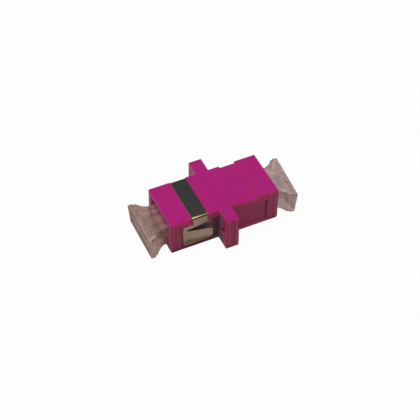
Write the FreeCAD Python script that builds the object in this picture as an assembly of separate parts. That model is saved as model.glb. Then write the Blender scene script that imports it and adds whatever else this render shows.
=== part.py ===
import FreeCAD, Part
import os

# Simplex fibre adapter: X runs along the fibre, Y across the panel, Z up.
# The origin is the middle of the alignment sleeve. All sizes are in millimetres.

# Housing, made of two halves that meet at x = 0
BODY_LENGTH = 27.4
BODY_WIDTH = 12.9
BODY_HEIGHT = 9.2
BODY_EDGE = 0.2
END_FOOT = 0.55
FLANGE_WIDTH = 21.2
FLANGE_THICKNESS = 3.2
FLANGE_CORNER = 0.4
FLANGE_EDGE = 0.12
SCREW_SPACING = 18.0
SCREW_HOLE = 2.2

# Connector port in each end of the housing
PORT_WIDTH = 9.1
PORT_HEIGHT = 7.4
PORT_LEAD_IN = 0.25
KEYWAY_WIDTH = 2.5
KEYWAY_LENGTH = 5.0

# Seats for the panel clip, which fits the left half
GROOVE_NEAR = 4.32
GROOVE_FAR = 8.31
GROOVE_DEPTH = 0.38
GROOVE_CORNER = 0.06
GROOVE_ROUND = 0.55
POCKET_DEPTH = 0.45
POCKET_FAR = 10.82
POCKET_TOP = 2.55
POCKET_BOTTOM = -3.8

# Latch inserts: plate, sleeve holder and two hooks each
INSERT_GAP = 0.02
PLATE_THICKNESS = 1.3
PLATE_WIDTH = 10.5
PLATE_CLEARANCE = 0.05
HOLDER_DIAMETER = 4.7
HOLDER_END = 6.3
HOLDER_LIP = 0.55
HOLDER_MOUTH = 2.9
HOLDER_BEVEL = 0.3
HOOK_OUTER = 4.25
HOOK_THICKNESS = 0.7
HOOK_CATCH = 0.65
HOOK_WIDTH = 3.2
HOOK_END = 8.4
HOOK_HEAD = 1.5
HOOK_ROOT = 0.5

# Split alignment sleeve
SLEEVE_LENGTH = 11.4
SLEEVE_OUTER = 3.2
SLEEVE_BORE = 2.5
SLEEVE_SLOT = 0.5
SLEEVE_CLEARANCE = 0.05

# Panel clip, folded from one strip
SHEET = 0.35
CLIP_CLEARANCE = 0.02
CLIP_SIDE_PLAY = 0.03
CLIP_FAR = 10.6
CLIP_NEAR = 3.62
CLIP_CORNER = 0.6
NECK_RELIEF = 0.2
TAB_ROOT = 9.6
TAB_END = 3.62
TAB_TOP = 1.0
TAB_BOTTOM = -2.15
TAB_TAPER = 0.45
TAB_CORNER = 0.5
TAB_SLOT = 0.3
TAB_REACH = 7.6
SLOT_RISE = 0.85

# Dust caps
CAP_HEIGHT = 5.5
CAP_FACE = 18.6
CAP_INNER_END = 11.1
CAP_RIM_WIDTH = 13.15
CAP_RIM_THICKNESS = 1.15
CAP_LAND_WIDTH = 12.35
CAP_LAND_END = 16.8
CAP_NECK_WIDTH = 8.1
CAP_FLARE_MIDDLE = (15.75, 4.9)
CAP_NECK_OUTER = 14.4
CAP_NECK_INNER = 13.0
CAP_PLUG_WIDTH = 8.6
CAP_CORNER = 0.3
CAP_EDGE = 0.2
CAP_HOLLOW_WIDTH = 3.6
CAP_HOLLOW_WALL = 0.9
CAP_HOLLOW_END = 17.2
CAP_RECESS_RIM = 0.75
CAP_RECESS = 0.35
CAP_LIFT = 0.03

# The caps fit loosely: each droops over the port's lower lip and turns a little, in degrees
CAP_DROOP = {"left": 5.0, "right": 6.9}
CAP_TURN = {"left": -0.5, "right": -4.0}

X_AXIS = FreeCAD.Vector(1, 0, 0)
Y_AXIS = FreeCAD.Vector(0, 1, 0)
Z_AXIS = FreeCAD.Vector(0, 0, 1)
CENTRE = FreeCAD.Vector(0, 0, 0)
FAR_OUT = 30.0
SMALL = 1e-6


def box(x_range, y_range, z_range):
    """Box between two limits on each axis, given in either order."""
    low = FreeCAD.Vector(min(x_range), min(y_range), min(z_range))
    high = FreeCAD.Vector(max(x_range), max(y_range), max(z_range))
    size = high - low
    return Part.makeBox(size.x, size.y, size.z, low)


def rod(radius, x_start, x_end, y=0.0, z=0.0):
    """Cylinder along X."""
    return Part.makeCylinder(radius, x_end - x_start, FreeCAD.Vector(x_start, y, z), X_AXIS)


def rounded_bar(x_start, x_end, width, height, radius):
    """Bar along X, centred on the axis, with its long edges rounded."""
    bar = box((x_start, x_end), (-width / 2, width / 2), (-height / 2, height / 2))
    long_edges = [e for e in bar.Edges if abs(e.tangentAt(e.FirstParameter).x) > 0.9]
    return bar.makeFillet(radius, long_edges)


def edges_at(shape, x):
    """Edges that lie wholly in the plane at x."""
    return [e for e in shape.Edges if all(abs(v.X - x) < SMALL for v in e.Vertexes)]


def upright(edge):
    """True for an edge along Z."""
    return abs(edge.Vertexes[0].Z - edge.Vertexes[-1].Z) > SMALL


def across(edge):
    """True for an edge along Y."""
    return abs(edge.tangentAt(edge.FirstParameter).y) > 0.9


def outline(points):
    """Flat face from a closed run of points, with an arc where a point is a pair (through, to)."""
    edges = []
    last = points[0]
    for point in points[1:] + points[:1]:
        if isinstance(point, tuple):
            edges.append(Part.Arc(last, point[0], point[1]).toShape())
            last = point[1]
        else:
            edges.append(Part.LineSegment(last, point).toShape())
            last = point
    return Part.Face(Part.Wire(edges))


def both_sides(shape):
    """The shape and its mirror image across the XZ plane."""
    return [shape, shape.mirror(CENTRE, Y_AXIS)]


def other_end(shape):
    """A copy turned half round, for the opposite end of the adapter."""
    turned = shape.copy()
    turned.rotate(CENTRE, Z_AXIS, 180)
    return turned


def mouth_edges(half):
    """Edges of the port where it opens in the left end face."""
    y_limit = PORT_WIDTH / 2 + SMALL
    z_limit = PORT_HEIGHT / 2 + SMALL
    end_edges = edges_at(half, -BODY_LENGTH / 2)
    return [e for e in end_edges if all(abs(v.Y) < y_limit and abs(v.Z) < z_limit for v in e.Vertexes)]


def clip_seat(takes_necks):
    """Material removed for the clip: a groove over the top and a pocket in each side.

    Where the seat takes the clip's necks, the groove runs down the sides to the pockets.
    Elsewhere it rounds off at the sides.
    """
    floor_y = BODY_WIDTH / 2 - POCKET_DEPTH
    floor_z = BODY_HEIGHT / 2 - GROOVE_DEPTH
    if takes_necks:
        groove_foot = POCKET_TOP
        core = rounded_bar(-GROOVE_FAR, -GROOVE_NEAR, 2 * floor_y, 2 * floor_z, GROOVE_CORNER)
    else:
        groove_foot = floor_z - GROOVE_ROUND
        core = rounded_bar(-GROOVE_FAR, -GROOVE_NEAR, BODY_WIDTH, 2 * floor_z, GROOVE_ROUND)
    saddle = box((-GROOVE_FAR, -GROOVE_NEAR), (-FAR_OUT, FAR_OUT), (groove_foot, FAR_OUT)).cut(core)
    pocket_x = (-POCKET_FAR, -FLANGE_THICKNESS / 2)
    pocket = box(pocket_x, (floor_y, BODY_WIDTH), (POCKET_BOTTOM, POCKET_TOP))
    return saddle.fuse(both_sides(pocket))


def housing_body(end, inner_end):
    """Block behind the port: its foot rounds off more than the other edges of its end."""
    half_width = BODY_WIDTH / 2
    half_height = BODY_HEIGHT / 2
    body = box((-end, inner_end), (-half_width, half_width), (-half_height, half_height))
    foot = [e for e in edges_at(body, -end) if e.CenterOfMass.z < SMALL - half_height]
    body = body.makeFillet(END_FOOT, foot)
    sides = [e for e in body.Edges if all(abs(abs(v.Y) - half_width) < SMALL for v in e.Vertexes)]
    brow = [e for e in edges_at(body, -end) if across(e) and e.CenterOfMass.z > half_height - SMALL]
    rim = [e for e in sides if abs(e.CenterOfMass.y) > SMALL and e.CenterOfMass.x < inner_end - SMALL]
    return body.makeFillet(BODY_EDGE, rim + brow)


def housing_half(takes_necks):
    """Left half of the housing, with half of the flange's thickness."""
    end = BODY_LENGTH / 2
    flange_face = FLANGE_THICKNESS / 2
    body = housing_body(end, -flange_face / 2)
    flange = rounded_bar(-flange_face, 0, FLANGE_WIDTH, BODY_HEIGHT, FLANGE_CORNER)
    flange = flange.makeFillet(FLANGE_EDGE, edges_at(flange, -flange_face))

    shoulder = PLATE_THICKNESS + INSERT_GAP + PLATE_CLEARANCE
    port_y = (-PORT_WIDTH / 2, PORT_WIDTH / 2)
    port_z = (-PORT_HEIGHT / 2, PORT_HEIGHT / 2)
    seat_width = PLATE_WIDTH / 2 + PLATE_CLEARANCE
    port = box((-end, 0), port_y, port_z)
    insert_seat = box((-shoulder, 0), (-seat_width, seat_width), port_z)
    half = body.fuse(flange).cut([port, insert_seat])
    half = half.makeChamfer(PORT_LEAD_IN, mouth_edges(half))
    keyway_y = (-KEYWAY_WIDTH / 2, KEYWAY_WIDTH / 2)
    keyway = box((-end, KEYWAY_LENGTH - end), keyway_y, (-BODY_HEIGHT, 0))
    hole = rod(SCREW_HOLE / 2, -FLANGE_THICKNESS, FLANGE_THICKNESS, SCREW_SPACING / 2)
    return half.cut([keyway, clip_seat(takes_necks)] + both_sides(hole)).removeSplitter()


def latch_hook():
    """One hook arm on the +Y side: a springy strip with a wedge-shaped catch at its end."""
    outer = HOOK_OUTER
    inner = HOOK_OUTER - HOOK_THICKNESS
    catch = inner - HOOK_CATCH
    root = -PLATE_THICKNESS / 2
    head = HOOK_HEAD - HOOK_END
    level = -HOOK_WIDTH / 2
    corners = (
        (root, outer),
        (root, inner - HOOK_ROOT),
        (-PLATE_THICKNESS - HOOK_ROOT, inner),
        (head, inner),
        (head, catch),
        (head - HOOK_ROOT, catch),
        (-HOOK_END, inner),
        (-HOOK_END, outer),
    )
    strip = outline([FreeCAD.Vector(x, y, level) for x, y in corners])
    return strip.extrude(FreeCAD.Vector(0, 0, HOOK_WIDTH))


def latch_insert():
    """Left insert: plate against the weld plane, half of the sleeve holder, two hooks."""
    back = -INSERT_GAP
    front = back - PLATE_THICKNESS
    plate_z = PORT_HEIGHT / 2 - PLATE_CLEARANCE
    plate = box((front, back), (-PLATE_WIDTH / 2, PLATE_WIDTH / 2), (-plate_z, plate_z))
    holder = rod(HOLDER_DIAMETER / 2, -HOLDER_END, back)
    holder = holder.makeChamfer(HOLDER_BEVEL, edges_at(holder, -HOLDER_END))
    insert = plate.fuse([holder] + both_sides(latch_hook()))
    sleeve_room = rod(SLEEVE_OUTER / 2 + SLEEVE_CLEARANCE, HOLDER_LIP - HOLDER_END, 0)
    mouth = rod(HOLDER_MOUTH / 2, -FAR_OUT, 0)
    return insert.cut([sleeve_room, mouth]).removeSplitter()


def alignment_sleeve():
    """Split sleeve: a tube with one lengthwise slot on top."""
    half = SLEEVE_LENGTH / 2
    tube = rod(SLEEVE_OUTER / 2, -half, half)
    bore = rod(SLEEVE_BORE / 2, -half, half)
    slot = box((-half, half), (-SLEEVE_SLOT / 2, SLEEVE_SLOT / 2), (0, SLEEVE_OUTER))
    return tube.cut([bore, slot])


def clip_plate(inner_y):
    """Side plate of the clip on +Y, with slots above and below the tab that widen to its free end."""
    low = POCKET_BOTTOM + CLIP_SIDE_PLAY
    high = POCKET_TOP - CLIP_SIDE_PLAY
    corners = (
        (-CLIP_FAR, low),
        (-CLIP_NEAR, low),
        (-CLIP_NEAR, high),
        (-CLIP_FAR, high),
    )
    plate = outline([FreeCAD.Vector(x, inner_y, z) for x, z in corners])
    plate = plate.extrude(FreeCAD.Vector(0, SHEET, 0))
    plate = plate.makeFillet(CLIP_CORNER, [e for e in plate.Edges if across(e)])
    slot_bottom = TAB_BOTTOM - TAB_SLOT
    slot_top = TAB_TOP + TAB_SLOT
    window_corners = (
        (-TAB_ROOT, slot_bottom),
        (-CLIP_NEAR, slot_bottom),
        (-CLIP_NEAR, slot_top + SLOT_RISE),
        (-TAB_ROOT, slot_top),
    )
    window = outline([FreeCAD.Vector(x, inner_y, z) for x, z in window_corners])
    return plate.cut(window.extrude(FreeCAD.Vector(0, SHEET, 0)))


def clip_tab(inner_y):
    """Sprung tab on +Y: it leaves the plate at its root and leans outwards to its free end."""
    root = -TAB_ROOT
    end = -TAB_END
    overlap = SHEET
    lean = TAB_REACH - SHEET
    corners = (
        (root - overlap, inner_y),
        (root, inner_y),
        (end, lean),
        (end, TAB_REACH),
        (root, inner_y + SHEET),
        (root - overlap, inner_y + SHEET),
    )
    strip = outline([FreeCAD.Vector(x, y, TAB_BOTTOM) for x, y in corners])
    strip = strip.extrude(FreeCAD.Vector(0, 0, TAB_TOP - TAB_BOTTOM))
    side_corners = (
        (root - overlap, TAB_TOP),
        (root - overlap, TAB_BOTTOM),
        (root, TAB_BOTTOM),
        (end, TAB_BOTTOM + TAB_TAPER),
        (end, TAB_TOP),
    )
    blank = outline([FreeCAD.Vector(x, 0, z) for x, z in side_corners])
    blank = blank.extrude(FreeCAD.Vector(0, FAR_OUT, 0))
    free_corners = [e for e in blank.Edges if across(e) and e.CenterOfMass.x > end - SMALL]
    return strip.common(blank.makeFillet(TAB_CORNER, free_corners))


def panel_clip():
    """Folded clip: a band over the top, a neck down each side, a plate with a tab below it."""
    inner_y = BODY_WIDTH / 2 - POCKET_DEPTH + CLIP_CLEARANCE
    inner_z = BODY_HEIGHT / 2 - GROOVE_DEPTH + CLIP_CLEARANCE
    band_start = CLIP_SIDE_PLAY - GROOVE_FAR
    band_end = -CLIP_SIDE_PLAY - GROOVE_NEAR
    bend = GROOVE_CORNER + CLIP_CLEARANCE
    outside = rounded_bar(band_start, band_end, 2 * (inner_y + SHEET), 2 * (inner_z + SHEET), bend + SHEET)
    inside = rounded_bar(band_start, band_end, 2 * inner_y, 2 * inner_z, bend)
    neck_foot = POCKET_TOP - 2 * CLIP_SIDE_PLAY
    below = box((-FAR_OUT, FAR_OUT), (-FAR_OUT, FAR_OUT), (-FAR_OUT, neck_foot))
    relief_x = (band_start, band_start + NECK_RELIEF)
    relief = box(relief_x, (inner_y, FAR_OUT), (neck_foot, inner_z - bend))
    band = outside.cut([inside, below] + both_sides(relief))
    side = clip_plate(inner_y).fuse(clip_tab(inner_y))
    return band.fuse(both_sides(side)).removeSplitter()


def cap_outline(z):
    """Plan of the left cap: rim plate, flared land, narrow neck and a plug that grips the port."""
    rim = CAP_RIM_WIDTH / 2
    land = CAP_LAND_WIDTH / 2
    neck = CAP_NECK_WIDTH / 2
    plug = CAP_PLUG_WIDTH / 2
    rim_back = CAP_FACE - CAP_RIM_THICKNESS
    flare_x, flare_y = CAP_FLARE_MIDDLE
    plug_start = CAP_NECK_INNER - (plug - neck)

    def at(x, y):
        return FreeCAD.Vector(-x, y, z)

    points = [at(CAP_FACE, -rim), at(CAP_FACE, rim), at(rim_back, rim)]
    points += [at(rim_back, land), at(CAP_LAND_END, land)]
    points += [(at(flare_x, flare_y), at(CAP_NECK_OUTER, neck)), at(CAP_NECK_INNER, neck)]
    points += [at(plug_start, plug), at(CAP_INNER_END, plug)]
    points += [at(CAP_INNER_END, -plug), at(plug_start, -plug), at(CAP_NECK_INNER, -neck)]
    points += [at(CAP_NECK_OUTER, -neck), (at(flare_x, -flare_y), at(CAP_LAND_END, -land))]
    points += [at(rim_back, -land), at(rim_back, -rim)]
    return outline(points)


def dust_cap(end):
    """Dust cap for one end: a hollow in its plug, a recess in its face, leaning on the port's lip."""
    base = CAP_LIFT - PORT_HEIGHT / 2
    top = base + CAP_HEIGHT
    cap = cap_outline(base).extrude(FreeCAD.Vector(0, 0, CAP_HEIGHT))
    cap = cap.makeFillet(CAP_CORNER, [e for e in edges_at(cap, -CAP_FACE) if upright(e)])
    grip = [e for e in cap.Edges if all(v.X < SMALL - CAP_LAND_END for v in e.Vertexes)]
    cap = cap.makeFillet(CAP_EDGE, [e for e in grip if not upright(e)])
    hollow_y = (-CAP_HOLLOW_WIDTH / 2, CAP_HOLLOW_WIDTH / 2)
    hollow_z = (base + CAP_HOLLOW_WALL, top - CAP_HOLLOW_WALL)
    hollow = box((-CAP_HOLLOW_END, -CAP_INNER_END), hollow_y, hollow_z)
    recess_y = CAP_RIM_WIDTH / 2 - CAP_RECESS_RIM
    recess_z = (base + CAP_RECESS_RIM, top - CAP_RECESS_RIM)
    recess = box((-CAP_FACE, CAP_RECESS - CAP_FACE), (-recess_y, recess_y), recess_z)
    cap = cap.cut([hollow, recess])
    lip = FreeCAD.Vector(-BODY_LENGTH / 2, 0, base)
    cap.rotate(lip, Z_AXIS, CAP_TURN[end])
    cap.rotate(lip, Y_AXIS, -CAP_DROOP[end])
    return cap


def main():
    pieces = {
        "housing_half_left": housing_half(takes_necks=True),
        "housing_half_right": other_end(housing_half(takes_necks=False)),
        "latch_insert_left": latch_insert(),
        "latch_insert_right": other_end(latch_insert()),
        "alignment_sleeve": alignment_sleeve(),
        "panel_clip": panel_clip(),
        "dust_cap_left": dust_cap("left"),
        "dust_cap_right": other_end(dust_cap("right")),
    }
    os.makedirs("parts", exist_ok=True)
    for name, shape in pieces.items():
        print(name, "solids", len(shape.Solids), "valid", shape.isValid(), "volume", round(shape.Volume, 2))
        shape.Solids[0].exportStep(os.path.join("parts", name + ".step"))


main()
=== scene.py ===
import bmesh
import bpy
import math
from itertools import combinations
from mathutils import Matrix, Vector


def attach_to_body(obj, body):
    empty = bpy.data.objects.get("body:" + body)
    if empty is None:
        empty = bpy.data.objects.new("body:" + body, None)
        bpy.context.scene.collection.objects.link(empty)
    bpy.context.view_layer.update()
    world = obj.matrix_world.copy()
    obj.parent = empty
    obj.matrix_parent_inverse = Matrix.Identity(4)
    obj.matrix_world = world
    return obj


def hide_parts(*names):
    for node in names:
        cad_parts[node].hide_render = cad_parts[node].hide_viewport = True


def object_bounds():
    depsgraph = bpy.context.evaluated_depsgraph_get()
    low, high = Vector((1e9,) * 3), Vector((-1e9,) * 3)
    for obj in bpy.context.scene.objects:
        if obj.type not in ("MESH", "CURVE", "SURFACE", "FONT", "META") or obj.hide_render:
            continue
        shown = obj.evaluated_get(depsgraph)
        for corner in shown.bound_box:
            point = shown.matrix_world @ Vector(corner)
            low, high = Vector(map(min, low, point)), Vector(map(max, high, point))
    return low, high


# Simplex fibre adapter: violet welded housing, sprung steel panel clip, smoky dust caps.
# Same frame as the CAD: X along the fibre, Y across the panel, Z up, metres.
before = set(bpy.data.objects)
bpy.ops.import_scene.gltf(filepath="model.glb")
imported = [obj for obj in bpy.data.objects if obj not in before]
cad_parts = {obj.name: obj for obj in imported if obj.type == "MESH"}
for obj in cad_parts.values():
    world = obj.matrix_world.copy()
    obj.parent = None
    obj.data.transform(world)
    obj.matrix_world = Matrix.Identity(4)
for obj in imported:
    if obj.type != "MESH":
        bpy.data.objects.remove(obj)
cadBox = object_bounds()
mm = 0.001
ends = ("left", "right")

# Edges of every piece: which of them are rounded, and how finely
edgeRules = {
    "sharpFrom": math.radians(32),  # an edge that turns by more than this is rounded
    "finePoint": math.radians(45),  # edges that meet at less than this stay sharp
    "flat": math.radians(0.6),  # faces that meet at less than this become one
    "merge": 0.002,  # points this near become one, in millimetres
    "weld": 0.005,  # edges this near to the weld plane stay sharp, in millimetres
    "segments": 2,
    "shadeWeight": 80,  # pull of the large faces on the shading of a rounded edge
}


class Wire:
    # one socket in an expression: every operator adds a Math node to its tree
    def __init__(self, nodes, socket):
        self.nodes = nodes
        self.socket = socket

    def out(self, name):
        return Wire(self.nodes, self.socket.node.outputs[name])

    def __add__(self, other):
        return self.nodes.maths("ADD", self, other)

    def __radd__(self, other):
        return self.nodes.maths("ADD", other, self)

    def __sub__(self, other):
        return self.nodes.maths("SUBTRACT", self, other)

    def __rsub__(self, other):
        return self.nodes.maths("SUBTRACT", other, self)

    def __mul__(self, other):
        return self.nodes.maths("MULTIPLY", self, other)

    def __rmul__(self, other):
        return self.nodes.maths("MULTIPLY", other, self)

    def __abs__(self):
        return self.nodes.maths("ABSOLUTE", self)


class Nodes:
    # a node tree, with one method that makes every node in it
    def __init__(self, tree):
        self.tree = tree

    def make(self, kind, settings=None, sockets=None, out=0):
        node = self.tree.nodes.new(kind)
        for name, value in (settings or {}).items():
            setattr(node, name, value)
        for key, value in (sockets or {}).items():
            for each in value if isinstance(value, list) else [value]:  # a list is several links
                if isinstance(each, Wire):
                    self.tree.links.new(each.socket, node.inputs[key])
                else:
                    node.inputs[key].default_value = each
        return Wire(self, node.outputs[out]) if node.outputs else None

    def maths(self, operation, first, second=0.0):
        return self.make("ShaderNodeMath", {"operation": operation}, {0: first, 1: second})

    def larger(self, first, second):
        return self.maths("MAXIMUM", first, second)

    def place(self, stretch=(1.0, 1.0, 1.0)):
        # object coordinates in millimetres; a small stretch draws a pattern out along that axis
        spot = self.make("ShaderNodeTexCoord", out="Object")
        scale = tuple(share / mm for share in stretch)
        return self.make("ShaderNodeMapping", {}, {"Vector": spot, "Scale": scale})

    def axes(self, vector):
        split = self.make("ShaderNodeSeparateXYZ", {}, {"Vector": vector})
        return split.out("X"), split.out("Y"), split.out("Z")

    def facing(self):
        return self.axes(self.make("ShaderNodeTexCoord", out="Normal"))

    def grain(self, place, size):
        # noise from 0 to 1, even about 0.5
        scale, detail = size
        return self.make("ShaderNodeTexNoise", {}, {"Vector": place, "Scale": scale, "Detail": detail})

    def step(self, value, limits):
        # 0 at the first limit, 1 at the second, smooth between
        start, full = limits
        sockets = {"Value": value, "From Min": start, "From Max": full}
        return self.make("ShaderNodeMapRange", {"interpolation_type": "SMOOTHSTEP"}, sockets)

    def tint(self, factor, first, second):
        # sockets 6 and 7 of a Mix node are its two colours, and output 2 the mixed one
        return self.make("ShaderNodeMix", {"data_type": "RGBA"}, {0: factor, 6: first, 7: second}, 2)

    def tints(self, colour, layers):
        # each layer is a mask and its colour, laid over those before it
        for mask, shade in layers:
            colour = self.tint(mask, colour, shade)
        return colour

    def bump(self, height, size):
        strength, depth = size
        sockets = {"Height": height, "Strength": strength, "Distance": depth * mm}
        return self.make("ShaderNodeBump", {}, sockets)


def newFinish(name):
    material = bpy.data.materials.new(name)
    material.use_nodes = True
    material.node_tree.nodes.clear()
    return material, Nodes(material.node_tree)


def cover(nodes, sockets):
    surface = nodes.make("ShaderNodeBsdfPrincipled", {}, sockets)
    nodes.make("ShaderNodeOutputMaterial", {}, {"Surface": surface})


def newPiece(name, mesh):
    piece = bpy.data.objects.new(name, mesh)
    bpy.context.scene.collection.objects.link(piece)
    return piece


def settle(piece):
    # the modifiers' result becomes the piece's own plain mesh
    state = bpy.context.evaluated_depsgraph_get()
    finished = bpy.data.meshes.new_from_object(piece.evaluated_get(state))
    piece.modifiers.clear()
    piece.data = finished


def roundEdges(piece, width):
    # rounds each edge by its share of the width, held in its bevel weight
    bevel = piece.modifiers.new("edges", "BEVEL")
    bevel.limit_method = "WEIGHT"
    bevel.width = width * mm
    bevel.segments = edgeRules["segments"]
    bevel.use_clamp_overlap = False
    shade = piece.modifiers.new("shade", "WEIGHTED_NORMAL")
    shade.keep_sharp = True
    shade.weight = edgeRules["shadeWeight"]


def softened(node, name, width, material):
    # a merged copy of a CAD node's mesh, with its sharp edges just broken, save those in the weld plane
    shape = bmesh.new()
    shape.from_mesh(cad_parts[node].data)
    bmesh.ops.remove_doubles(shape, verts=shape.verts, dist=edgeRules["merge"] * mm)
    bmesh.ops.dissolve_limit(shape, angle_limit=edgeRules["flat"], verts=shape.verts, edges=shape.edges)
    share = shape.edges.layers.float.new("bevel_weight_edge")
    for edge in shape.edges:
        welded = all(abs(corner.co.x) < edgeRules["weld"] * mm for corner in edge.verts)
        edge.smooth = not welded
        edge[share] = float(not welded and edge.calc_face_angle(0.0) > edgeRules["sharpFrom"])
    for corner in shape.verts:
        rounded = [edge for edge in corner.link_edges if edge[share]]
        for pair in combinations(rounded, 2):
            first, second = (edge.other_vert(corner).co - corner.co for edge in pair)
            if first.angle(second) < edgeRules["finePoint"]:
                for edge in pair:
                    edge[share] = 0.0
    mesh = bpy.data.meshes.new(name)
    shape.to_mesh(mesh)
    shape.free()
    for attribute in [a for a in mesh.attributes if a.name == "custom_normal"]:  # the CAD's own shading
        mesh.attributes.remove(attribute)
    mesh.shade_smooth()
    mesh.materials.append(material)
    piece = newPiece(name, mesh)
    roundEdges(piece, width)
    settle(piece)
    return piece


def attach(piece, body, node):
    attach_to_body(piece, body)
    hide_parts(node)


# Housing: two welded halves in violet moulded plastic, which lets red light through its thin edges
housingLook = {
    "edgeWidth": 0.04,  # millimetres
    "colour": (0.428, 0.018, 0.203, 1),
    "cloudy": (0.414, 0.018, 0.195, 1),
    "wall": (0.496, 0.104, 0.228, 1),  # upright faces, painted lighter and hazier than the top for the haze that they reflect
    "earEndLight": (0.585, 0.115, 0.252, 1),  # painted light on the outer faces of the ears
    "browGlow": (0.66, 0.075, 0.190, 1),  # painted glow on the upper edge of the walls, where the light comes through
    "lip": (0.30, 0.030, 0.125, 1),  # painted shade on the lower edge of the left half's walls and of the ears
    "ledgeLight": (0.60, 0.095, 0.215, 1),  # painted light on the foot of the right half's pockets
    "seatHaze": (0.43, 0.31, 0.36, 1),  # painted grey haze on the shaded pocket walls where the clip sits
    "gapShadow": (0.05, 0.025, 0.03, 1),  # painted shadow round the clip's plates
    "earShade": (0.40, 0.045, 0.155, 1),  # painted shade on the front ear's face on the clip's side
    "farEarLight": (0.55, 0.100, 0.300, 1),  # painted light on the same face of the back ear
    "nookShade": (0.24, 0.110, 0.165, 1),  # painted shade in the corner of front ear and body, and at the foot of the clip's pockets
    "boreShade": (0.44, 0.06, 0.175, 1),  # painted shade inside the screw holes
    "portLight": (0.58, 0.035, 0.26, 1),  # inside of the ports, painted lighter for the light in them
    "drawMarks": (0.42, 0.075, 0.180, 1),  # faint upright lines on the end and ear walls
    "portGlow": (0.040, 0.002, 0.016, 1),  # painted glow inside the ports, for the light that the walls let through
    "dark": (0, 0, 0, 1),
    "clouds": (0.45, 3.0),  # scale to the millimetre, detail
    "texture": (9.0, 3.0),
    "marks": (1.0, 1.0),
    "markStretch": (1.6, 0.4, 0.03),
    "roughness": 0.42,
    "uneven": (0.12, 0.08),  # what the texture and the clouds change in the roughness
    "bump": (0.12, 0.02),  # strength, and depth in millimetres
    "cloudBump": 0.6,  # height of the clouds against that of the texture
    "specular": 0.05,
    "glow": (0.8, 1.0),  # share of the light that spreads inside, and how far in millimetres
    "glowTint": (1.0, 0.08, 0.14),
    "screwAcross": 9.0,  # from the middle to a screw hole's axis, in millimetres
    "spots": {  # where a tint starts and where it is full, in millimetres or as a share of the normal
        "clouds": (0.3, 0.7),
        "marks": (0.42, 0.62),
        "sideWall": (0.7, 0.95),
        "wall": (0.8, 0.4),
        "endWall": (10.5, 10.8),
        "earEndLight": (10.3, 10.5),
        "browTurn": (0.3, 0.7),
        "browHeight": (3.0, 4.2),
        "seatDepth": (6.2, 6.1),
        "seatEnd": (-1.5, -1.8),
        "gapEnd": (-10.5, -10.6),
        "gapFoot": (-3.5, -3.6),
        "towardsClip": (-0.7, -0.9),
        "earFace": (-2.2, -1.8),
        "front": (0.0, -1.0),
        "back": (6.0, 6.6),
        "corner": (-9.4, -7.2),
        "besideStart": (-3.8, -2.4),
        "besideEnd": (-1.4, -1.6),
        "besideTop": (3.4, 2.2),
        "upwards": (0.5, 0.8),
        "pocketFoot": (-2.5, -3.0),
        "leftHalf": (-1.0, -2.0),
        "rightHalf": (1.0, 2.0),
        "lipHeight": (-3.6, -3.95),
        "lipEnd": (2.0, 1.6),
        "portWidth": (4.75, 4.65),
        "portHeight": (3.95, 3.85),
        "boreSquare": (1.6, 1.3),  # distance from the hole's axis, squared
        "boreLength": (1.55, 1.45),
    },
}


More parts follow.
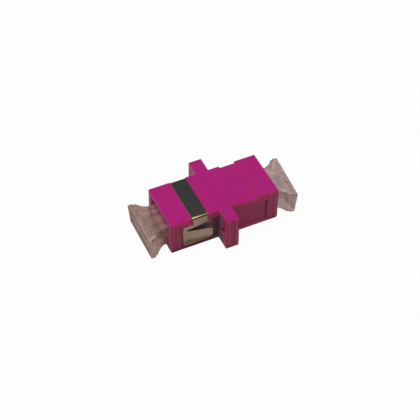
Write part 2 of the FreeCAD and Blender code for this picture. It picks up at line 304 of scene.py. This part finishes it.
def violetPlastic():
    material, nodes = newFinish("violetPlastic")
    look, spots = housingLook, housingLook["spots"]
    place = nodes.place()
    x, y, z = nodes.axes(place)
    normalX, normalY, normalZ = nodes.facing()
    clouds = nodes.grain(place, look["clouds"])
    texture = nodes.grain(place, look["texture"])
    marks = nodes.grain(nodes.place(look["markStretch"]), look["marks"])

    # walls, their edges and their ends, with painted haze, glow, light and shade
    front = nodes.step(y, spots["front"])
    # painted haze: the upright faces are painted lighter and hazier than the top
    wall = nodes.step(normalZ, spots["wall"])
    sideWall = nodes.step(abs(normalY), spots["sideWall"])
    # painted light on the outer faces of the ears
    earEndLight = sideWall * nodes.step(abs(y), spots["earEndLight"])
    endWall = sideWall * nodes.step(abs(x), spots["endWall"]) + earEndLight
    drawn = endWall * nodes.step(marks, spots["marks"])
    # painted glow along the upper edge of the walls
    browGlow = wall * nodes.step(abs(normalY), spots["browTurn"]) * nodes.step(z, spots["browHeight"])
    # painted shade along the lower edge of the left half's walls and of the ears
    lip = sideWall * nodes.step(z, spots["lipHeight"]) * nodes.step(x, spots["lipEnd"])

    # pockets, with painted light on the right half's pocket foot, painted grey haze where the clip sits and
    # a painted shadow round its plates
    pocketFoot = nodes.step(normalZ, spots["upwards"]) * nodes.step(z, spots["pocketFoot"])
    # painted light on the foot of the right half's pockets
    ledgeLight = pocketFoot * nodes.step(x, spots["rightHalf"])
    # painted grey haze on the shaded pocket walls where the clip sits
    seatHaze = sideWall * nodes.step(abs(y), spots["seatDepth"]) * nodes.step(x, spots["seatEnd"])
    # painted shadow round the clip's plates
    gapShadow = seatHaze * nodes.larger(nodes.step(x, spots["gapEnd"]), nodes.step(z, spots["gapFoot"]))

    # ears on the clip's side, the front one painted in shade and the back one in light, and painted shade in
    # the corner that the front one makes with the body
    clipSide = nodes.step(normalX, spots["towardsClip"]) * nodes.step(x, spots["earFace"])
    earShade = clipSide * front
    farEarLight = clipSide * nodes.step(y, spots["back"])
    # painted shade in the corner of the front ear and the body, and at the foot of the left pockets
    beside = nodes.step(x, spots["besideStart"]) * nodes.step(x, spots["besideEnd"])
    beside = sideWall * front * beside * nodes.step(z, spots["besideTop"])
    nookShade = nodes.larger(earShade * nodes.step(y, spots["corner"]), beside)
    nookShade = nodes.larger(nookShade, pocketFoot * nodes.step(x, spots["leftHalf"]))

    # openings, with painted light and a painted glow inside the ports, and painted shade in the screw holes
    # the inside of the ports, painted lighter and given a painted glow
    portLight = nodes.step(abs(y), spots["portWidth"]) * nodes.step(abs(z), spots["portHeight"])
    # painted shade inside the screw holes
    across = abs(y) - look["screwAcross"]
    boreShade = nodes.step(across * across + z * z, spots["boreSquare"]) * nodes.step(abs(x), spots["boreLength"])

    layers = {
        "wall": wall, "earEndLight": earEndLight, "browGlow": browGlow, "lip": lip, "ledgeLight": ledgeLight, "seatHaze": seatHaze, "gapShadow": gapShadow,
        "earShade": earShade, "farEarLight": farEarLight, "nookShade": nookShade, "boreShade": boreShade, "portLight": portLight, "drawMarks": drawn,
    }
    colour = nodes.tint(nodes.step(clouds, spots["clouds"]), look["colour"], look["cloudy"])
    colour = nodes.tints(colour, [(mask, look[name]) for name, mask in layers.items()])
    textured, clouded = look["uneven"]
    glow, reach = look["glow"]
    cover(nodes, {
        "Base Color": colour,
        "Roughness": look["roughness"] + textured * (texture - 0.5) + clouded * (clouds - 0.5),
        "Specular IOR Level": look["specular"],
        "Subsurface Weight": glow,
        "Subsurface Radius": look["glowTint"],
        "Subsurface Scale": reach * mm,
        # painted glow inside the ports
        "Emission Color": nodes.tint(portLight, look["dark"], look["portGlow"]),
        "Emission Strength": 1.0,
        "Normal": nodes.bump(texture + look["cloudBump"] * clouds, look["bump"]),
    })
    return material


print("housing")
violet = violetPlastic()
for end in ends:
    half = softened("housing_half_" + end, "housingHalf_" + end, housingLook["edgeWidth"], violet)
    attach(half, "adapter", "housing_half_" + end)


# Panel clip: folded spring steel, with a painted dark reflection on the band, painted highlights on its cut
# edges and front bend, and painted shade towards its foot
clipLook = {
    "edgeWidth": 0.06,  # millimetres
    "steel": (0.236, 0.170, 0.124, 1),
    "rolled": (0.302, 0.223, 0.166, 1),
    "footShade": (0.146, 0.088, 0.062, 1),  # painted shade, darker towards the foot of the side plates
    # painted dark reflection on the band's upward faces
    "band": (0.168, 0.151, 0.128, 1),
    "bendDarkReflection": (0.05, 0.036, 0.03, 1),  # painted dark reflection under the painted highlight of the bend
    # painted highlight on the front bend, the band's rim and the cut edges
    "highlight": (0.76, 0.47, 0.12, 1),
    "rolling": (1.0, 3.0),  # scale to the millimetre, detail
    "rollingStretch": (0.22, 5.0, 5.0),
    "clouds": (0.7, 3.0),
    "roughness": 0.32,
    "uneven": (0.12, 0.08),  # what the rolling and the clouds change in the roughness
    "bump": (0.08, 0.01),  # strength, and depth in millimetres
    "footShadeShare": (0.4, 0.6),  # share of the painted shade everywhere at the foot, and what the clouds add
    "bendDarkShare": 0.8,
    "rimGlintShare": 0.35,
    "edgeGlintShare": 0.7,
    "highlightDiffuse": 0.6,  # how far the painted highlight is from bare metal
    "spots": {  # where a tint starts and where it is full, in millimetres or as a share of the normal
        "rolling": (0.3, 0.7),
        "bend": (-5.90, -5.97),
        "aboveLine": (4.48, 4.52),
        "belowLine": (4.52, 4.48),
        "creaseFoot": (4.12, 4.22),
        "rimTurn": (0.5, 0.8),
        "rimEnd": (-8.14, -8.20),
        "rimWidth": (6.0, 5.9),
        "edgeGlint": (0.55, 0.85),
        "foot": (-0.8, -2.8),
        "band": (0.8, 0.97),
    },
}


def springSteel():
    material, nodes = newFinish("springSteel")
    look, spots = clipLook, clipLook["spots"]
    place = nodes.place()
    x, y, z = nodes.axes(place)
    normalX, _, normalZ = nodes.facing()
    rolling = nodes.grain(nodes.place(look["rollingStretch"]), look["rolling"])
    clouds = nodes.grain(place, look["clouds"])
    # painted shade, darker towards the foot of the side plates and mottled by the clouds
    everywhere, cloudy = look["footShadeShare"]
    footShadeShare = nodes.step(z, spots["foot"]) * (everywhere + cloudy * clouds)
    bend = nodes.step(y, spots["bend"])
    # painted highlights along the front bend, on the band's rim and on the cut edges
    bendGlint = bend * nodes.step(z, spots["aboveLine"])
    # painted dark reflection just under the highlight of the bend
    bendDarkLine = bend * nodes.step(z, spots["belowLine"]) * nodes.step(z, spots["creaseFoot"])
    rim = nodes.step(normalZ, spots["rimTurn"]) * nodes.step(x, spots["rimEnd"])
    rim = rim * nodes.step(abs(y), spots["rimWidth"])
    glint = nodes.larger(bendGlint, look["rimGlintShare"] * rim)
    edgeGlint = nodes.step(abs(normalX), spots["edgeGlint"])
    colour = nodes.tint(nodes.step(rolling, spots["rolling"]), look["steel"], look["rolled"])
    colour = nodes.tints(colour, [
        (footShadeShare, look["footShade"]),
        # painted dark reflection on the band's upward faces
        (nodes.step(normalZ, spots["band"]), look["band"]),
        (look["bendDarkShare"] * bendDarkLine, look["bendDarkReflection"]),
        (glint, look["highlight"]),
        (look["edgeGlintShare"] * edgeGlint, look["highlight"]),
    ])
    rolled, clouded = look["uneven"]
    cover(nodes, {
        "Base Color": colour,
        "Metallic": 1.0 - look["highlightDiffuse"] * glint,
        "Roughness": look["roughness"] + rolled * (rolling - 0.5) + clouded * (clouds - 0.5),
        "Normal": nodes.bump(rolling, look["bump"]),
    })
    return material


print("panel clip")
clip = softened("panel_clip", "panelClip", clipLook["edgeWidth"], springSteel())
attach(clip, "adapter", "panel_clip")


# Latch inserts and split sleeve, seen in the ports once a cap is pulled
insertLook = {
    "edgeWidth": 0.04,  # millimetres
    "colour": (0.74, 0.72, 0.66, 1),
    "deep": (0.62, 0.59, 0.52, 1),
    "clouds": (0.8, 3.0),  # scale to the millimetre, detail
    "cloudy": (0.35, 0.7),  # where the deep colour starts and where it is full
    "texture": (8.0, 2.0),
    "roughness": 0.45,
    "uneven": 0.15,
    "bump": (0.1, 0.02),  # strength, and depth in millimetres
}
sleeveLook = {
    "edgeWidth": 0.03,  # millimetres
    "colour": (0.86, 0.86, 0.84, 1),
    "lapped": (0.74, 0.75, 0.75, 1),
    "rings": (1.0, 2.0),  # scale to the millimetre, detail
    "ringStretch": (7.0, 0.3, 0.3),
    "ringed": (0.35, 0.7),  # where the lapped colour starts and where it is full
    "roughness": 0.2,
    "uneven": 0.2,
    "bump": (0.08, 0.01),  # strength, and depth in millimetres
}


def naturalPlastic():
    material, nodes = newFinish("naturalPlastic")
    look = insertLook
    place = nodes.place()
    clouds = nodes.grain(place, look["clouds"])
    texture = nodes.grain(place, look["texture"])
    cover(nodes, {
        "Base Color": nodes.tint(nodes.step(clouds, look["cloudy"]), look["colour"], look["deep"]),
        "Roughness": look["roughness"] + look["uneven"] * (texture - 0.5),
        "Normal": nodes.bump(texture, look["bump"]),
    })
    return material


def groundCeramic():
    material, nodes = newFinish("groundCeramic")
    look = sleeveLook
    rings = nodes.grain(nodes.place(look["ringStretch"]), look["rings"])
    cover(nodes, {
        "Base Color": nodes.tint(nodes.step(rings, look["ringed"]), look["colour"], look["lapped"]),
        "Roughness": look["roughness"] + look["uneven"] * (rings - 0.5),
        "Normal": nodes.bump(rings, look["bump"]),
    })
    return material


print("inserts and sleeve")
natural = naturalPlastic()
for end in ends:
    insert = softened("latch_insert_" + end, "latchInsert_" + end, insertLook["edgeWidth"], natural)
    attach(insert, "adapter", "latch_insert_" + end)
sleeve = softened("alignment_sleeve", "alignmentSleeve", sleeveLook["edgeWidth"], groundCeramic())
attach(sleeve, "adapter", "alignment_sleeve")


# Dust caps: one outline drawn up to its height, hollowed from the plug and recessed in the face
capMould = {
    "height": 5.5,  # millimetres, as the sizes below
    "face": 18.6,
    "innerEnd": 11.1,
    "rim": (13.15, 1.15),  # width, thickness
    "land": (12.35, 16.8),  # width, end
    "neck": (8.1, 14.4, 13.0),  # width, outer and inner end
    "flare": (15.75, 4.9),  # middle of the flare's arc
    "arcSteps": 8,
    "plug": 8.6,
    "hollow": (3.6, 0.9, 17.2),  # width, wall, end
    "overrun": 1.0,  # how far the hollow's cutter starts outside the plug
    "recess": (0.75, 0.35),  # rim, depth
    "base": -3.67,
    "lip": 13.7,  # the port's lower lip, which the cap leans on
    "lean": {"left": (5.0, -0.5), "right": (6.9, -4.0)},  # droop and turn in degrees
    "corner": 0.3,
    "cornerSteps": 4,
    "edge": 0.2,
    "innerEdge": 0.08,
    # one smoky plastic, the right cap's copy painted lighter than the left's for the light on it
    "left": {"smoke": (0.325, 0.210, 0.178, 1), "streak": (0.53, 0.39, 0.34, 1), "reflectionShare": 0.60},
    "right": {"smoke": (0.47, 0.345, 0.325, 1), "streak": (0.67, 0.53, 0.50, 1), "reflectionShare": 0.25},
    "housingReflection": (0.35, 0.050, 0.155, 1),  # the housing's colour seen through and reflected in the cap, painted at the port's mouth and faintly on the sides
    "flankLight": (0.58, 0.40, 0.365, 1),  # sides of the neck, painted lighter
    "shade": (0.20, 0.115, 0.11, 1),  # where the flare turns towards the housing, and on the face
    "outline": (0.12, 0.065, 0.05, 1),  # painted shade along the rounded edges, where refraction darkens them
    "inside": (0.83, 0.79, 0.77, 1),  # walls of the hollow
    "streaks": (1.0, 0.0),  # scale to the millimetre, detail
    "streakStretch": (0.12, 1.2, 1.2),
    "wispStretch": (0.30, 0.7, 0.7),
    "mixed": (0.7, 0.3),  # shares of the streaks and the wisps
    "paleness": 0.45,  # share of the streaks' colour where they are even
    "streaky": (0.4, 0.6),  # strength of the streaks in the grip, and what the neck adds
    "shadeShare": 0.5,
    "faceShare": 0.85,
    "sideShare": 0.15,
    "paleReflection": 0.2,  # how far a pale streak loses the painted reflection
    "flankLightShare": 0.8,
    "edgeShadeShare": 0.8,
    "clear": (0.8, 0.1),  # share of the light that passes straight through the grip, and the fogged neck
    "foggedShare": 0.7,
    "refraction": 1.15,
    "roughness": 0.28,
    "uneven": 0.2,
    "bump": (0.02, 0.03),  # strength, and depth in millimetres
    "spots": {  # where a tint starts and where it is full, in millimetres or as a share of the normal
        "streaks": (0.35, 0.65),
        "streaky": (17.4, 15.4),
        "upper": (0.3, 0.8),
        "neck": (15.6, 13.9),
        "mouth": (12.4, 13.3),
        "inwards": (0.35, 0.8),
        "flare": (14.6, 15.4),
        "face": (-0.7, -0.9),
        "side": (0.5, 0.8),
        "edgeStart": (0.2, 0.4),
        "edgeEnd": (0.97, 0.85),
    },
}


def arcBetween(start, middle, end, steps):
    # points from start to end on the circle through all three
    (ax, ay), (bx, by), (cx, cy) = start, middle, end
    doubled = 2 * (ax * (by - cy) + bx * (cy - ay) + cx * (ay - by))
    squares = [px * px + py * py for px, py in (start, middle, end)]
    centreX = (squares[0] * (by - cy) + squares[1] * (cy - ay) + squares[2] * (ay - by)) / doubled
    centreY = (squares[0] * (cx - bx) + squares[1] * (ax - cx) + squares[2] * (bx - ax)) / doubled
    radius = math.hypot(ax - centreX, ay - centreY)
    first = math.atan2(ay - centreY, ax - centreX)
    sweep = math.remainder(math.atan2(cy - centreY, cx - centreX) - first, math.tau)
    turns = [first + sweep * i / steps for i in range(steps + 1)]
    return [(centreX + radius * math.cos(t), centreY + radius * math.sin(t)) for t in turns]


def capOutline():
    # half of the plan from the face inwards, each point with its corner radius, then its mirror
    face, innerEnd = capMould["face"], capMould["innerEnd"]
    rimWidth, rimThickness = capMould["rim"]
    landWidth, landEnd = capMould["land"]
    neckWidth, neckEnd, neckStart = capMould["neck"]
    rim, land, neck, plug = rimWidth / 2, landWidth / 2, neckWidth / 2, capMould["plug"] / 2
    rimBack = face - rimThickness
    small = capMould["innerEdge"]
    flare = arcBetween((landEnd, land), capMould["flare"], (neckEnd, neck), capMould["arcSteps"])
    side = [(face, rim, capMould["corner"]), (rimBack, rim, small), (rimBack, land, small)]
    side += [(px, py, 0.0) for px, py in flare]
    side += [(neckStart, neck, small), (neckStart - (plug - neck), plug, small), (innerEnd, plug, small)]
    return side + [(px, -py, corner) for px, py, corner in reversed(side)]


def capTree():
    group = bpy.data.node_groups.new("dustCap", "GeometryNodeTree")
    group.interface.new_socket("Outline", in_out="INPUT", socket_type="NodeSocketGeometry")
    for name in ("Height", "Inner End", "Hollow Width", "Hollow Wall", "Hollow Start", "Hollow End", "Face",
                 "Recess Width", "Recess Rim", "Recess Depth", "Grip Start", "Inner Share"):
        group.interface.new_socket(name, in_out="INPUT", socket_type="NodeSocketFloat")
    group.interface.new_socket("Material", in_out="INPUT", socket_type="NodeSocketMaterial")
    group.interface.new_socket("Cap", in_out="OUTPUT", socket_type="NodeSocketGeometry")
    nodes = Nodes(group)
    given = nodes.make("NodeGroupInput")
    height = given.out("Height")
    slack = 0.05 * mm  # by this much a face may miss the plane that it is looked for at

    corner = nodes.make("GeometryNodeInputNamedAttribute", {"data_type": "FLOAT"}, {"Name": "corner"})
    curve = nodes.make("GeometryNodeMeshToCurve", {}, {"Mesh": given.out("Outline")})
    curve = nodes.make("GeometryNodeFilletCurve", {"mode": "POLY"}, {
        "Curve": curve, "Count": capMould["cornerSteps"], "Radius": corner, "Limit Radius": True})
    plan = nodes.make("GeometryNodeFillCurve", {"mode": "NGONS"}, {"Curve": curve})
    walls = nodes.make("GeometryNodeExtrudeMesh", {"mode": "FACES"}, {
        "Mesh": plan, "Offset": (0, 0, 1), "Offset Scale": height, "Individual": False})
    floor = nodes.make("GeometryNodeFlipFaces", {}, {"Mesh": plan})
    solid = nodes.make("GeometryNodeJoinGeometry", {}, {"Geometry": [walls, floor]})
    solid = nodes.make("GeometryNodeMergeByDistance", {}, {
        "Geometry": solid, "Distance": edgeRules["merge"] * mm})

    def block(start, end, width, wall):
        # a cutter between two places along X, this wide, a wall's thickness inside top and bottom
        middle = nodes.make("ShaderNodeCombineXYZ", {}, {"X": -0.5 * (start + end), "Z": 0.5 * height})
        size = nodes.make("ShaderNodeCombineXYZ", {}, {
            "X": end - start, "Y": width, "Z": height - 2.0 * wall})
        cube = nodes.make("GeometryNodeMeshCube", {}, {"Size": size})
        return nodes.make("GeometryNodeTransform", {}, {"Geometry": cube, "Translation": middle})

    width, wall = given.out("Hollow Width"), given.out("Hollow Wall")
    hollow = block(given.out("Hollow Start"), given.out("Hollow End"), width, wall)
    face, depth = given.out("Face"), given.out("Recess Depth")
    recess = block(face - depth, face + depth, given.out("Recess Width"), given.out("Recess Rim"))
    solid = nodes.make("GeometryNodeMeshBoolean", {"operation": "DIFFERENCE", "solver": "EXACT"}, {
        "Mesh 1": solid, "Mesh 2": [hollow, recess]})

    # faces of the hollow are marked for the finish
    x, y, z = nodes.axes(nodes.make("GeometryNodeInputPosition"))
    reach = 0.0 - x
    fromSkin = 0.5 * height - abs(z - 0.5 * height)
    inside = nodes.maths("LESS_THAN", abs(y), 0.5 * width + slack)
    inside = inside * nodes.maths("GREATER_THAN", fromSkin, wall - slack)
    inside = inside * nodes.maths("GREATER_THAN", reach, given.out("Inner End") + slack)
    inside = inside * nodes.maths("LESS_THAN", reach, given.out("Hollow End") + slack)
    solid = nodes.make("GeometryNodeStoreNamedAttribute", {"data_type": "FLOAT", "domain": "FACE"}, {
        "Geometry": solid, "Name": "inside", "Value": inside})

    # sharp edges of the grip are rounded in full, those of the plug and the hollows by a share
    angle = nodes.make("GeometryNodeInputMeshEdgeAngle")
    sharp = nodes.maths("GREATER_THAN", angle, edgeRules["sharpFrom"])
    grip = nodes.maths("GREATER_THAN", reach, given.out("Grip Start") - slack)
    share = given.out("Inner Share")
    solid = nodes.make("GeometryNodeStoreNamedAttribute", {"data_type": "FLOAT", "domain": "EDGE"}, {
        "Geometry": solid, "Name": "bevel_weight_edge", "Value": sharp * (share + grip * (1.0 - share))})
    solid = nodes.make("GeometryNodeRealizeInstances", {}, {"Geometry": solid})
    solid = nodes.make("GeometryNodeSetMaterial", {}, {"Geometry": solid, "Material": given.out("Material")})
    nodes.make("NodeGroupOutput", {}, {"Cap": solid})
    return group


def smokyPlastic(end):
    material, nodes = newFinish("smokyPlastic_" + end)
    look, own, spots = capMould, capMould[end], capMould["spots"]
    along = abs(nodes.axes(nodes.place())[0])
    normalX, normalY, normalZ = nodes.facing()
    inwards = normalX * (1.0 if end == "left" else -1.0)
    streaks = nodes.grain(nodes.place(look["streakStretch"]), look["streaks"])
    wisps = nodes.grain(nodes.place(look["wispStretch"]), look["streaks"])
    streakShare, wispShare = look["mixed"]
    inGrip, inNeck = look["streaky"]
    drawn = nodes.step(streakShare * streaks + wispShare * wisps, spots["streaks"]) - 0.5
    pale = look["paleness"] + (inGrip + inNeck * nodes.step(along, spots["streaky"])) * drawn
    upper = nodes.step(normalZ, spots["upper"])
    neck = nodes.step(along, spots["neck"])
    mouth = neck * nodes.step(along, spots["mouth"])
    shade = nodes.step(inwards, spots["inwards"]) * nodes.step(along, spots["flare"])
    face = nodes.step(inwards, spots["face"])
    side = nodes.step(abs(normalY), spots["side"])
    outline = nodes.step(abs(normalZ), spots["edgeStart"]) * nodes.step(abs(normalZ), spots["edgeEnd"])
    inside = nodes.make("ShaderNodeAttribute", {"attribute_name": "inside"}, out="Fac")
    colour = nodes.tints(nodes.tint(pale, own["smoke"], own["streak"]), [
        (look["shadeShare"] * shade + look["faceShare"] * face, look["shade"]),
        # the housing's colour painted as a reflection on the sides and at the mouth
        (look["sideShare"] * side, look["housingReflection"]),
        (mouth * upper * (own["reflectionShare"] - look["paleReflection"] * pale), look["housingReflection"]),
        # painted light on the sides of the neck
        (look["flankLightShare"] * neck * (1.0 - upper), look["flankLight"]),
        # painted shade along the rounded edges
        (look["edgeShadeShare"] * outline, look["outline"]),
        (inside, look["inside"]),
    ])
    shared = {
        "Base Color": colour,
        "Roughness": look["roughness"] + look["uneven"] * (wisps - 0.5),
        "IOR": look["refraction"],
        "Normal": nodes.bump(wisps, look["bump"]),
    }
    grip, fogged = [
        nodes.make("ShaderNodeBsdfPrincipled", {}, {**shared, "Transmission Weight": share})
        for share in look["clear"]
    ]
    surface = nodes.make("ShaderNodeMixShader", {}, {0: look["foggedShare"] * neck, 1: grip, 2: fogged})
    nodes.make("ShaderNodeOutputMaterial", {}, {"Surface": surface})
    return material


def dustCap(end, group):
    shape = capMould
    outline = capOutline()
    points = [(-px * mm, py * mm, 0.0) for px, py, corner in outline]
    loop = [(i, (i + 1) % len(points)) for i in range(len(points))]
    mesh = bpy.data.meshes.new("dustCap_" + end)
    mesh.from_pydata(points, loop, [])
    corners = mesh.attributes.new("corner", "FLOAT", "POINT")
    corners.data.foreach_set("value", [corner * mm for px, py, corner in outline])
    piece = newPiece("dustCap_" + end, mesh)

    hollowWidth, hollowWall, hollowEnd = shape["hollow"]
    recessRim, recessDepth = shape["recess"]
    sizes = {
        "Height": shape["height"],
        "Inner End": shape["innerEnd"],
        "Hollow Width": hollowWidth,
        "Hollow Wall": hollowWall,
        "Hollow Start": shape["innerEnd"] - shape["overrun"],
        "Hollow End": hollowEnd,
        "Face": shape["face"],
        "Recess Width": shape["rim"][0] - 2 * recessRim,
        "Recess Rim": recessRim,
        "Recess Depth": recessDepth,
        "Grip Start": shape["land"][1],
    }
    values = {name: size * mm for name, size in sizes.items()}
    values["Inner Share"] = shape["innerEdge"] / shape["edge"]
    values["Material"] = smokyPlastic(end)
    maker = piece.modifiers.new("dustCap", "NODES")
    maker.node_group = group
    for item in group.interface.items_tree:
        if item.name in values:
            maker[item.identifier] = values[item.name]
    roundEdges(piece, shape["edge"])
    settle(piece)

    # the cap leans on the port's lower lip, and the right one faces the other way
    droop, turn = (math.radians(angle) for angle in shape["lean"][end])
    rise = Matrix.Translation((0, 0, shape["base"] * mm))
    lip = rise @ Matrix.Translation((-shape["lip"] * mm, 0, 0))
    lean = Matrix.Rotation(-droop, 4, "Y") @ Matrix.Rotation(turn, 4, "Z")
    heading = Matrix.Rotation(math.pi if end == "right" else 0.0, 4, "Z")
    piece.data.transform(heading @ lip @ lean @ lip.inverted() @ rise)
    return piece


print("dust caps")
capGroup = capTree()
for end in ends:
    cap = dustCap(end, capGroup)
    attach(cap, "cap_" + end, "dust_cap_" + end)


# Studio: pale floor, a pale sweep round the horizon under a dim ceiling, soft light from above
studio = {
    "floorColour": (0.56, 0.48, 0.41, 1),  # what the floor throws back on the object
    "floorShown": (0.92, 0.92, 0.92, 1),
    "floorWhite": 0.94,  # share of plain white that the camera sees in the floor
    "floorGleam": 0.25,  # the same share for reflections
    "speckle": (0.05, 2.0),  # scale to the millimetre, detail
    "speckled": 0.02,
    "floorSize": 3.0,  # metres
    "sweep": (1.0, 1.0, 1.0, 1),
    "sweepLight": (0.15, 0.14, 0.13, 1),  # what the sweep and ceiling add to the light on the object
    "ceiling": (0.035, 0.060, 0.080, 1),
    "sweepTop": (0.20, 0.36),  # sine of the elevation where the sweep fades into the ceiling
    "keyPower": 3.6,
    "keySize": 0.45,  # metres, as its place
    "keyPlace": (-0.12, 0.06, 0.6),
}
cameraView = {
    "azimuth": -25.46,  # degrees, 0 looks along +Y
    "elevation": 47.19,
    "roll": 0.56,
    "distance": 0.3317,  # metres
    "lens": 121.5,
    "shift": (-0.0078, -0.016),
    "nearest": 0.01,
}


def seenBy(nodes):
    # three masks, all 0 for the light on the object: 1 for rays from the camera or through a clear piece,
    # 1 for reflections, and 1 for either
    path = nodes.make("ShaderNodeLightPath")
    straight = nodes.larger(path.out("Is Camera Ray"), path.out("Is Transmission Ray"))
    mirrored = path.out("Is Glossy Ray")
    return straight, mirrored, nodes.larger(straight, mirrored)


def layFloor():
    material, nodes = newFinish("paleFloor")
    speckle = nodes.grain(nodes.place(), studio["speckle"])
    straight, mirrored, seen = seenBy(nodes)
    colour = nodes.tint(seen, studio["floorColour"], studio["floorShown"])
    matte = nodes.make("ShaderNodeBsdfDiffuse", {}, {"Color": colour})
    white = nodes.make("ShaderNodeEmission", {}, {"Color": (1, 1, 1, 1), "Strength": 1.0})
    plain = studio["floorWhite"] + studio["speckled"] * (speckle - 0.5)
    share = straight * plain + mirrored * studio["floorGleam"]
    surface = nodes.make("ShaderNodeMixShader", {}, {0: share, 1: matte, 2: white})
    nodes.make("ShaderNodeOutputMaterial", {}, {"Surface": surface})
    half = studio["floorSize"] / 2
    level = cadBox[0][2]
    corners = [(-half, -half, level), (half, -half, level), (half, half, level), (-half, half, level)]
    mesh = bpy.data.meshes.new("paleFloor")
    mesh.from_pydata(corners, [], [(0, 1, 2, 3)])
    mesh.materials.append(material)
    newPiece("paleFloor", mesh)


def hangLights():
    world = bpy.data.worlds.new("studio")
    world.use_nodes = True
    world.node_tree.nodes.clear()
    nodes = Nodes(world.node_tree)
    rise = nodes.axes(nodes.make("ShaderNodeTexCoord", out="Generated"))[2]
    shown = nodes.tint(nodes.step(rise, studio["sweepTop"]), studio["sweep"], studio["ceiling"])
    seen = seenBy(nodes)[2]
    colour = nodes.tint(seen, studio["sweepLight"], shown)
    light = nodes.make("ShaderNodeBackground", {}, {"Color": colour, "Strength": 1.0})
    nodes.make("ShaderNodeOutputWorld", {}, {"Surface": light})
    bpy.context.scene.world = world
    key = bpy.data.lights.new("key", "AREA")
    key.energy = studio["keyPower"]
    key.size = studio["keySize"]
    lamp = newPiece("key", key)
    lamp.location = studio["keyPlace"]
    lamp.rotation_euler = Vector(studio["keyPlace"]).to_track_quat("Z", "Y").to_euler()


def placeCamera():
    azimuth, elevation, roll = (math.radians(cameraView[name]) for name in ("azimuth", "elevation", "roll"))
    level = math.cos(elevation)
    back = Vector((math.sin(azimuth) * level, -math.cos(azimuth) * level, math.sin(elevation)))
    right = Vector((math.cos(azimuth), math.sin(azimuth), 0))
    turned = Matrix.Rotation(roll, 3, back) @ Matrix((right, back.cross(right), back)).transposed()
    lens = bpy.data.cameras.new("camera")
    lens.lens = cameraView["lens"]
    lens.shift_x, lens.shift_y = cameraView["shift"]
    lens.clip_start = cameraView["nearest"]
    camera = newPiece("camera", lens)
    camera.matrix_world = Matrix.Translation(back * cameraView["distance"]) @ turned.to_4x4()
    bpy.context.scene.camera = camera


print("studio")
layFloor()
hangLights()
placeCamera()
bpy.context.scene.view_settings.view_transform = "Standard"
